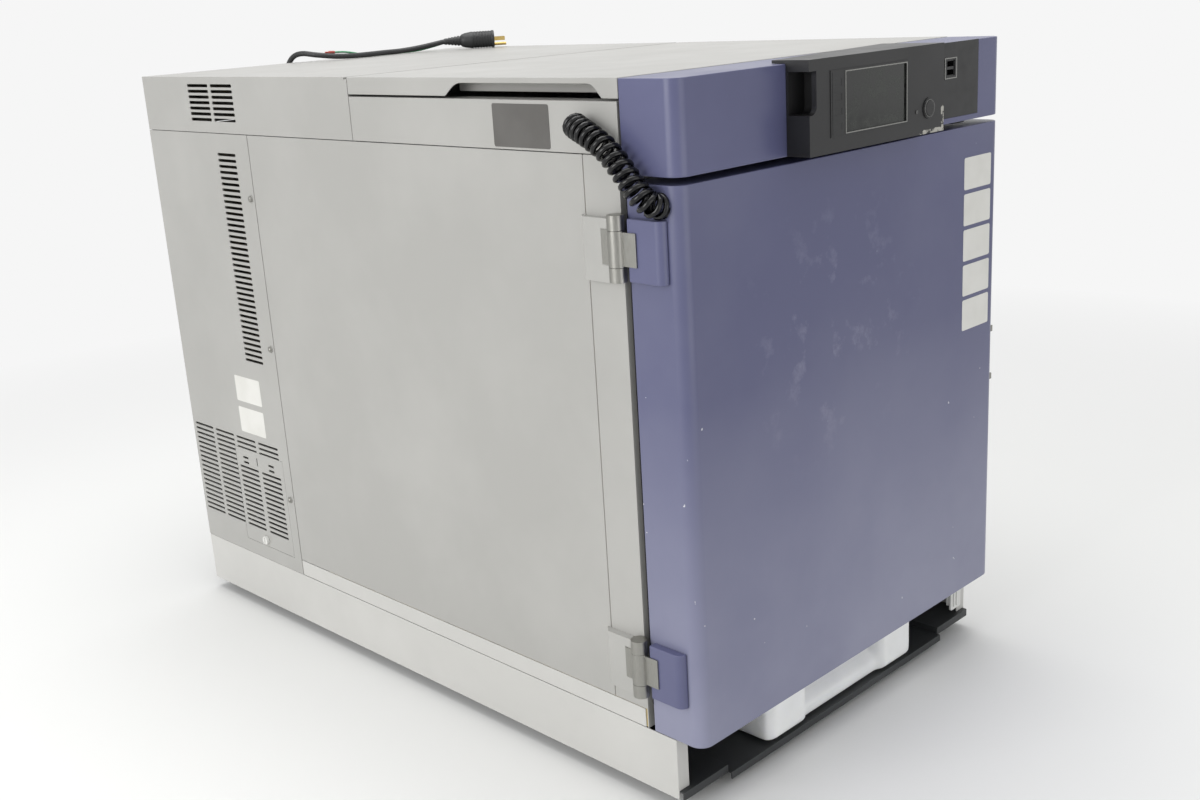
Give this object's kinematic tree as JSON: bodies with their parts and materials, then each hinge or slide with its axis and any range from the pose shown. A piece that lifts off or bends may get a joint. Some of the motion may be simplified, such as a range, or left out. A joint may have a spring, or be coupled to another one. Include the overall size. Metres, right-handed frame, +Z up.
{
  "type": "environmental test chamber",
  "caption": "Bench-top temperature and humidity chamber: grey steel cabinet with louvred rear, violet hinged door, hood with a touch control box, lid, water tank and cord.",
  "frame": {"origin": "on the floor, under the middle of the object's length and width, cord not counted", "axes": "+X to the right seen from the front (hinges on the left), +Y to the back, +Z up; the door faces -Y"},
  "size_m": [0.6426, 1.1694, 0.8173],
  "materials": {
    "cabinet_paint": "satin light warm grey powder coat",
    "rail_paint": "satin light grey powder coat",
    "violet_paint": "fine-textured blue-violet powder coat",
    "base_steel": "dark grey painted steel",
    "stainless": "brushed stainless sheet",
    "bright_steel": "satin steel castings",
    "fin_aluminium": "thin aluminium fins and blades",
    "foam": "rigid insulation foam",
    "black_plastic": "fine matte black moulding",
    "screen_glass": "dark glossy touch screen",
    "ring_metal": "dull bright ring",
    "seal_rubber": "black sealing rubber",
    "cord_rubber": "black cord sheath",
    "glossy_cord": "glossy black coiled sheath",
    "tank_plastic": "milky white polyethylene",
    "white_plastic": "white moulding",
    "grey_plastic": "dark grey moulding",
    "black_paint": "black painted steel",
    "copper": "copper tube",
    "blade_brass": "plain brass blades",
    "motor_metal": "grey motor housing"
  },
  "bodies": {
    "cabinet": {"feet": "seal_rubber", "base_frame": "base_steel", "side_rails": "rail_paint", "side_panel_left": "cabinet_paint", "side_panel_right": "cabinet_paint", "front_frame": "cabinet_paint", "insulation": "foam", "chamber_liner": "stainless", "cable_port": "white_plastic", "air_baffle": "stainless", "fan_motor": "motor_metal", "evaporator": "fin_aluminium", "heater": "bright_steel", "humidifier_pan": "stainless", "sensors": "bright_steel", "shelf_upper": "stainless", "shelf_lower": "stainless", "shelf_rails": "stainless", "electrical_box": "motor_metal", "top_band": "cabinet_paint", "rear_cover": "cabinet_paint", "hood": "violet_paint", "flush_panel": "black_plastic", "usb_port": "black_plastic", "hinge_covers": "cabinet_paint", "hinge_body_leaves": "bright_steel", "latch_keeper": "bright_steel", "curly_lead": "glossy_cord", "rear_panel_left": "cabinet_paint", "rear_panel_right": "cabinet_paint", "back_panel": "cabinet_paint", "compressor": "black_paint", "condenser": "fin_aluminium", "refrigerant_pipes": "copper", "cord_gland": "grey_plastic", "cord_lower": "cord_rubber", "cord_coil": "cord_rubber", "cord_upper": "cord_rubber", "plug": "cord_rubber", "plug_blades": "blade_brass"},
    "door": {"door_skin": "violet_paint", "door_core": "foam", "door_liner": "stainless", "door_gasket": "seal_rubber", "hinge_blocks": "violet_paint", "hinge_door_leaves": "bright_steel", "latch_base": "bright_steel"},
    "door_latch": {"latch_handle": "grey_plastic"},
    "lid": {"top_lid": "cabinet_paint"},
    "control_panel": {"control_box": "black_plastic", "screen_frame": "black_plastic", "touch_screen": "screen_glass", "power_ring": "ring_metal"},
    "key": {"power_key": "black_plastic"},
    "tank": {"water_tank": "tank_plastic"},
    "cap": {"tank_cap": "white_plastic"},
    "air_fan": {"circulation_fan": "fin_aluminium"},
    "cooling_fan": {"condenser_fan": "grey_plastic"},
    "filter_door": {"filter_cover": "cabinet_paint"},
    "filter_latch": {"filter_knob": "grey_plastic"}
  },
  "joints": [
    {"name": "door_hinge", "type": "hinge", "parent": "cabinet", "child": "door", "pos_m": [-0.305, -0.4265, 0.39], "axis": [0, 0, -1], "range_deg": [0, 130], "deforming": ["curly_lead"]},
    {"name": "latch_turn", "type": "hinge", "parent": "door", "child": "door_latch", "pos_m": [0.307, -0.481, 0.39], "axis": [0, 0, -1], "range_deg": [0, 60]},
    {"name": "lid_hinge", "type": "hinge", "parent": "cabinet", "child": "lid", "pos_m": [0, 0.0156, 0.79], "axis": [-1, 0, 0], "range_deg": [0, 75]},
    {"name": "panel_swing", "type": "hinge", "parent": "cabinet", "child": "control_panel", "pos_m": [0.113, -0.5083, 0.745], "axis": [0, 0, 1], "range_deg": [0, 80]},
    {"name": "key_press", "type": "slide", "parent": "control_panel", "child": "key", "axis": [0, 1, 0], "range_m": [0, 0.0015], "stiffness_N_per_m": 500},
    {"name": "tank_slide", "type": "slide", "parent": "cabinet", "child": "tank", "axis": [0, -1, 0], "range_m": [0, 0.28]},
    {"name": "cap_turn", "type": "hinge", "parent": "tank", "child": "cap", "pos_m": [-0.088, -0.219, 0.084], "axis": [0, 0, 1], "range_deg": [0, 270]},
    {"name": "air_fan_spin", "type": "hinge", "parent": "cabinet", "child": "air_fan", "pos_m": [0, 0.097, 0.49], "axis": [0, 1, 0], "continuous": true},
    {"name": "cooling_fan_spin", "type": "hinge", "parent": "cabinet", "child": "cooling_fan", "pos_m": [0.137, 0.402, 0.165], "axis": [0, 1, 0], "continuous": true},
    {"name": "filter_door_hinge", "type": "hinge", "parent": "cabinet", "child": "filter_door", "pos_m": [-0.295, 0.3365, 0.2575], "axis": [0, 1, 0], "range_deg": [0, 110]},
    {"name": "filter_latch_turn", "type": "hinge", "parent": "filter_door", "child": "filter_latch", "pos_m": [-0.295, 0.3425, 0.122], "axis": [1, 0, 0], "range_deg": [0, 90]}
  ]
}
